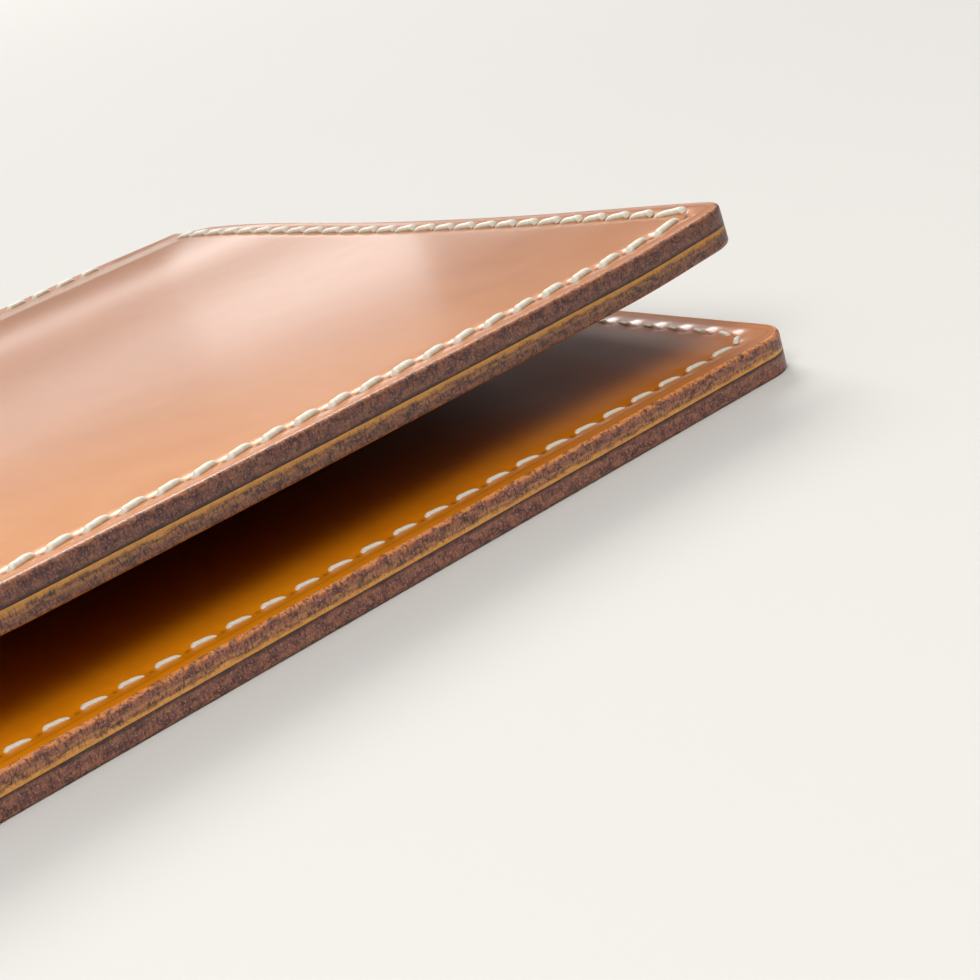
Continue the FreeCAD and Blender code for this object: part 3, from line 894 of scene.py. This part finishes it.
def make_shell(leaf):
    """Half of the outer shell, from its fore-edge to the middle of the spine."""
    groove = BASE_GROOVE_DEPTH if leaf.sign < 0 else GROOVE_DEPTH
    pressed = (both_rows(leaf), groove, SHELL_HOLE_DEPTH)
    materials = [shell_face, shell_edges[leaf.name], flesh]
    seen_from = leaf.flat_run - PANEL_SETBACK - FLESH_OVERLAP
    name = f"shell_{leaf.name}_half"
    return make_plate(
        name, leaf, leaf.full_run, SHELL_OUT, SHELL_IN, pressed, materials, True, seen_from
    )


def make_panel(leaf):
    """An inner panel, which makes a card pocket open towards the spine."""
    end = leaf.flat_run - PANEL_SETBACK
    pressed = (leaf.edge_holes(), GROOVE_DEPTH, PANEL_HOLE_DEPTH)
    materials = [panel_face, panel_edges[leaf.name], flesh]
    name = f"inner_panel_{leaf.name}"
    return make_plate(name, leaf, end, PANEL_IN, SHELL_IN, pressed, materials, False, end)


def strip_faces(rows, columns):
    """The faces of a strip whose two grids of vertices follow each other: the grid faces in
    turn, grain then back, and then the edge. The last row has no edge: the strip goes on."""
    half = rows * columns
    faces, slots = [], []
    for row in range(rows - 1):
        for column in range(columns - 1):
            corner = row * columns + column
            quad = [corner, corner + 1, corner + columns + 1, corner + columns]
            faces.append(quad)
            slots.append(GRAIN_SLOT)
            faces.append([half + index for index in quad[::-1]])
            slots.append(EDGE_SLOT)
    border = [row * columns for row in range(rows - 1, -1, -1)]
    border += [column for column in range(1, columns)]
    border += [row * columns + columns - 1 for row in range(1, rows)]
    for first, second in zip(border[:-1], border[1:]):
        faces.append([first, second, half + second, half + first])
        slots.append(EDGE_SLOT)
    return faces, slots


def make_lining(leaf):
    """Half of the narrow strip inside the fold, from its sewn side to the middle of the spine."""
    across_lines = np.linspace(-LINING_HALF_WIDTH, LINING_HALF_WIDTH, LINING_COLUMNS)
    flat = np.linspace(leaf.flat_run - FLAP_SETBACK, leaf.flat_run, LINING_FLAT_ROWS)
    across, run = np.meshgrid(across_lines, np.concatenate([flat, bend_steps(leaf)]))
    depth, dip = press(across, run, leaf.spine_holes(), LINING_GROOVE_DEPTH, LINING_HOLE_DEPTH)
    grain = leaf.place(across, run, LINING_IN + depth).reshape(-1, 3)
    back = leaf.place(across, run, SHELL_IN - LINING_GAP).reshape(-1, 3)
    half = len(grain)
    faces, slots = strip_faces(*across.shape)
    materials = [lining_face, shell_edges["upper"]]
    name = f"lining_{leaf.name}_half"
    lining = new_object(name, np.concatenate([grain, back]), faces, materials, slots)
    places = np.stack([across, run, np.zeros_like(run)], axis=-1).reshape(-1, 3)
    behind = places + [0, 0, LINING_THICKNESS]
    set_attribute(lining, "flat_place", np.concatenate([places, behind]))
    set_attribute(lining, "dip", np.concatenate([dip.ravel(), np.zeros(half)]))
    set_attribute(lining, "inset", np.full(2 * half, LINING_INSET))
    set_attribute(lining, "level", np.concatenate([np.full(half, 0.8), np.full(half, 0.1)]))
    fix_normals(lining)
    return lining


def bend_with_spine(piece, leaf, inner):
    """Bakes the piece's place into its mesh and leaves it unattached, so it does not follow its leaf or
    the spine. It works out the middle of the spine, the way across the leather there and the flat part's
    inner face, but uses none of them."""
    middle = Vector(leaf.place(0.0, leaf.full_run, 0.0))
    across_the_leather = Vector(leaf.place(0.0, leaf.full_run, MM)) - middle
    flat = Vector(leaf.place(0.0, leaf.flat_run, inner))
    if leaf.sign < 0:
        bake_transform(piece)
    else:
        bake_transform(piece)


def make_leaf(leaf):
    """All the pieces of one leaf. Returns those that also stand for the spine's nodes."""
    shell = make_shell(leaf)
    bend_with_spine(shell, leaf, SHELL_IN)
    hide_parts(f"{leaf.name}_shell")
    panel = make_panel(leaf)
    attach(panel, leaf.body)
    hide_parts(f"{leaf.name}_inner_panel")
    lining = make_lining(leaf)
    bend_with_spine(lining, leaf, LINING_IN)
    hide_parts(f"{leaf.name}_lining_flap")
    outside = SUNK if leaf.sign < 0 else PROUD
    sides = [(SHELL_OUT, 1, outside), (PANEL_IN, -1, INNER)]
    edge = make_thread(f"thread_edge_{leaf.name}", leaf, leaf.edge_holes(), sides, thread_material)
    sides = [(SHELL_OUT, 1, outside), (LINING_IN, -1, INNER)]
    spine = make_thread(f"thread_spine_{leaf.name}", leaf, leaf.spine_holes(), sides, thread_material)
    for thread, node in ((edge, f"{leaf.name}_edge_thread"), (spine, f"{leaf.name}_spine_thread")):
        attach(thread, leaf.body)
        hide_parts(node)
    return shell, lining


lower_shell, lower_lining = make_leaf(lower)
make_leaf(upper)
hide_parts("spine_shell")
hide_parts("spine_lining")


# ---------------------------------------------------------------- floor, light and camera

FLOOR_SIZE = 6.0
AIM = (0, 0.02, 0)
ORIGIN = (0, 0, 0)
# Each light's name, place, target, size and power. The two glows are long, low strips whose
# reflections make the sheen on the top face. The softboxes light the wallet and the paper.
LIGHTS = [
    ("backdrop_glow", (1.06, 1.16, 0.185), AIM, (0.75, 0.11), 0.36),
    ("backdrop_glow_left", (0.68, 1.43, 0.24), AIM, (0.55, 0.06), 0.28),
    ("back_softbox", (0.5, 1.1, 1.0), AIM, (0.8, 0.6), 23.0),
    ("front_softbox", (-0.17, -0.22, 0.4), ORIGIN, (0.3, 0.22), 1.5),
]
CAMERA_PLACE = (-0.10743, -0.22515, 0.07986)
CAMERA_FORWARD = (0.5349, 0.7710, -0.3456)
CAMERA_ROLL = math.radians(15.8)
CAMERA_LENS = 91.7
CAMERA_SENSOR = 36.0
CAMERA_NEAR = 0.01


def make_floor():
    """The pale paper that the wallet lies on."""
    bpy.ops.mesh.primitive_plane_add(size=FLOOR_SIZE, location=(0, 0, 0))
    floor = bpy.context.object
    floor.name = "floor"
    nodes = Nodes("floor_paper")
    spot = nodes.add("ShaderNodeTexCoord").outputs["Object"]
    tone = nodes.mix(nodes.noise(spot, 6, 2), (0.50, 0.492, 0.474, 1), (0.515, 0.507, 0.489, 1))
    nodes.feed(nodes.shader.inputs["Base Color"], tone)
    nodes.shader.inputs["Roughness"].default_value = 0.85
    nodes.shader.inputs["Specular IOR Level"].default_value = 0.2
    floor.data.materials.append(nodes.material)


def make_area(name, place, target, size, power):
    """A soft rectangular light at place, turned towards target."""
    light = bpy.data.lights.new(name, "AREA")
    light.shape = "RECTANGLE"
    light.size, light.size_y = size
    light.energy = power
    light.color = SOFT_WHITE
    lamp = bpy.data.objects.new(name, light)
    lamp.location = place
    lamp.rotation_euler = (Vector(target) - Vector(place)).to_track_quat("-Z", "Y").to_euler()
    bpy.context.scene.collection.objects.link(lamp)


def make_world():
    """A studio that is bright overhead and dim low down. The camera sees an even backdrop."""
    world = bpy.data.worlds.new("studio")
    bpy.context.scene.world = world
    world.use_nodes = True
    tree = world.node_tree
    back = tree.nodes["Background"]
    way = tree.nodes.new("ShaderNodeTexCoord")
    blend = tree.nodes.new("ShaderNodeVectorMath")
    blend.operation = "DOT_PRODUCT"
    blend.inputs[1].default_value = (0.0, 0.08, 1.0)
    level = tree.nodes.new("ShaderNodeMapRange")
    level.interpolation_type = "SMOOTHSTEP"
    level.inputs["From Min"].default_value = 0.05
    level.inputs["From Max"].default_value = 1.1
    level.inputs["To Min"].default_value = WORLD_LOW
    level.inputs["To Max"].default_value = WORLD_HIGH
    tree.links.new(way.outputs["Generated"], blend.inputs[0])
    tree.links.new(blend.outputs["Value"], level.inputs["Value"])
    seen = tree.nodes.new("ShaderNodeLightPath")
    pick = tree.nodes.new("ShaderNodeMix")
    pick.inputs["B"].default_value = BACKDROP
    tree.links.new(seen.outputs["Is Camera Ray"], pick.inputs["Factor"])
    tree.links.new(level.outputs["Result"], pick.inputs["A"])
    tree.links.new(pick.outputs["Result"], back.inputs["Strength"])
    back.inputs["Color"].default_value = (1.0, 0.99, 0.975, 1)


def make_camera():
    """The lens and place of the reference view: close, from the front left, tilted."""
    forward = Vector(CAMERA_FORWARD).normalized()
    level_right = forward.cross(Vector((0, 0, 1))).normalized()
    level_up = level_right.cross(forward)
    right = level_right * math.cos(CAMERA_ROLL) - level_up * math.sin(CAMERA_ROLL)
    over = level_up * math.cos(CAMERA_ROLL) + level_right * math.sin(CAMERA_ROLL)
    camera = bpy.data.cameras.new("camera")
    camera.sensor_width = CAMERA_SENSOR
    camera.lens = CAMERA_LENS
    camera.clip_start = CAMERA_NEAR
    holder = bpy.data.objects.new("camera", camera)
    turn = Matrix((right, over, -forward)).transposed().to_4x4()
    holder.matrix_world = Matrix.Translation(CAMERA_PLACE) @ turn
    bpy.context.scene.collection.objects.link(holder)
    bpy.context.scene.camera = holder


make_floor()
make_world()
for light_settings in LIGHTS:
    make_area(*light_settings)
make_camera()
bpy.context.scene.view_settings.view_transform = "Standard"
